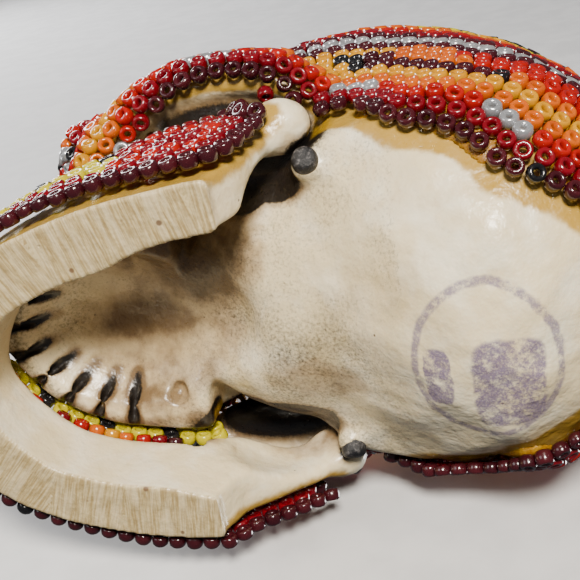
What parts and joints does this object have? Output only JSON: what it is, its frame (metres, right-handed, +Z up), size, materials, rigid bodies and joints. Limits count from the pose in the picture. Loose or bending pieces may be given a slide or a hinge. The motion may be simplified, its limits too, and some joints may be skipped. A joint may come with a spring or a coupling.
{
  "type": "beaded skull figure",
  "caption": "Small cast-resin skull with a bonded lower jaw, coated in beeswax and covered outside with rows of coloured glass seed beads.",
  "frame": {"origin": "middle of the footprint, on the surface the skull stands on", "axes": "+Z up to the crown, -Y towards the face, +X towards the figure's left"},
  "size_m": [0.0602, 0.0916, 0.0657],
  "materials": {
    "cast_resin": "ivory cast resin, satin, with a brown-black antique wash in the hollows",
    "beeswax": "amber beeswax and pine resin mix, satin",
    "black_filler": "black filler, scuffed",
    "bead_maroon": "glossy dark maroon seed beads",
    "bead_crimson": "glossy crimson seed beads",
    "bead_red": "glossy opaque red seed beads",
    "bead_orange": "glossy opaque orange seed beads",
    "bead_yellow": "glossy warm yellow seed beads",
    "bead_lemon": "glossy lemon yellow seed beads",
    "bead_pearl": "silver-white pearl seed beads",
    "bead_black": "glossy black seed beads"
  },
  "bodies": {
    "root": {"cranium_casting": "cast_resin", "jaw_casting": "cast_resin", "jaw_bond_left": "beeswax", "jaw_bond_right": "beeswax", "ear_plug_left": "black_filler", "ear_plug_right": "black_filler", "cranium_wax_coat": "beeswax", "jaw_wax_coat": "beeswax", "border_row_maroon": "bead_maroon", "arch_border_row_maroon_left": "bead_maroon", "arch_border_row_maroon_right": "bead_maroon", "second_row_crimson": "bead_crimson", "third_row_red": "bead_red", "fourth_row_orange": "bead_orange", "fifth_row_yellow": "bead_yellow", "crown_medallion": "bead_yellow", "crown_ring": "bead_pearl", "occiput_field": "bead_maroon", "parietal_field_left": "bead_orange", "parietal_field_right": "bead_orange", "forehead_field": "bead_crimson", "eye_rim_left": "bead_pearl", "eye_rim_right": "bead_pearl", "cheek_field_left": "bead_red", "cheek_field_right": "bead_red", "nose_rim": "bead_black", "muzzle_field": "bead_yellow", "upper_teeth_beads": "bead_lemon", "lower_teeth_beads": "bead_lemon", "chin_field": "bead_crimson", "jaw_border_row_left": "bead_maroon", "jaw_border_row_right": "bead_maroon", "jaw_flank_field_left": "beeswax", "jaw_flank_field_right": "beeswax", "ramus_field_left": "bead_crimson", "ramus_field_right": "bead_crimson"}
  },
  "joints": []
}
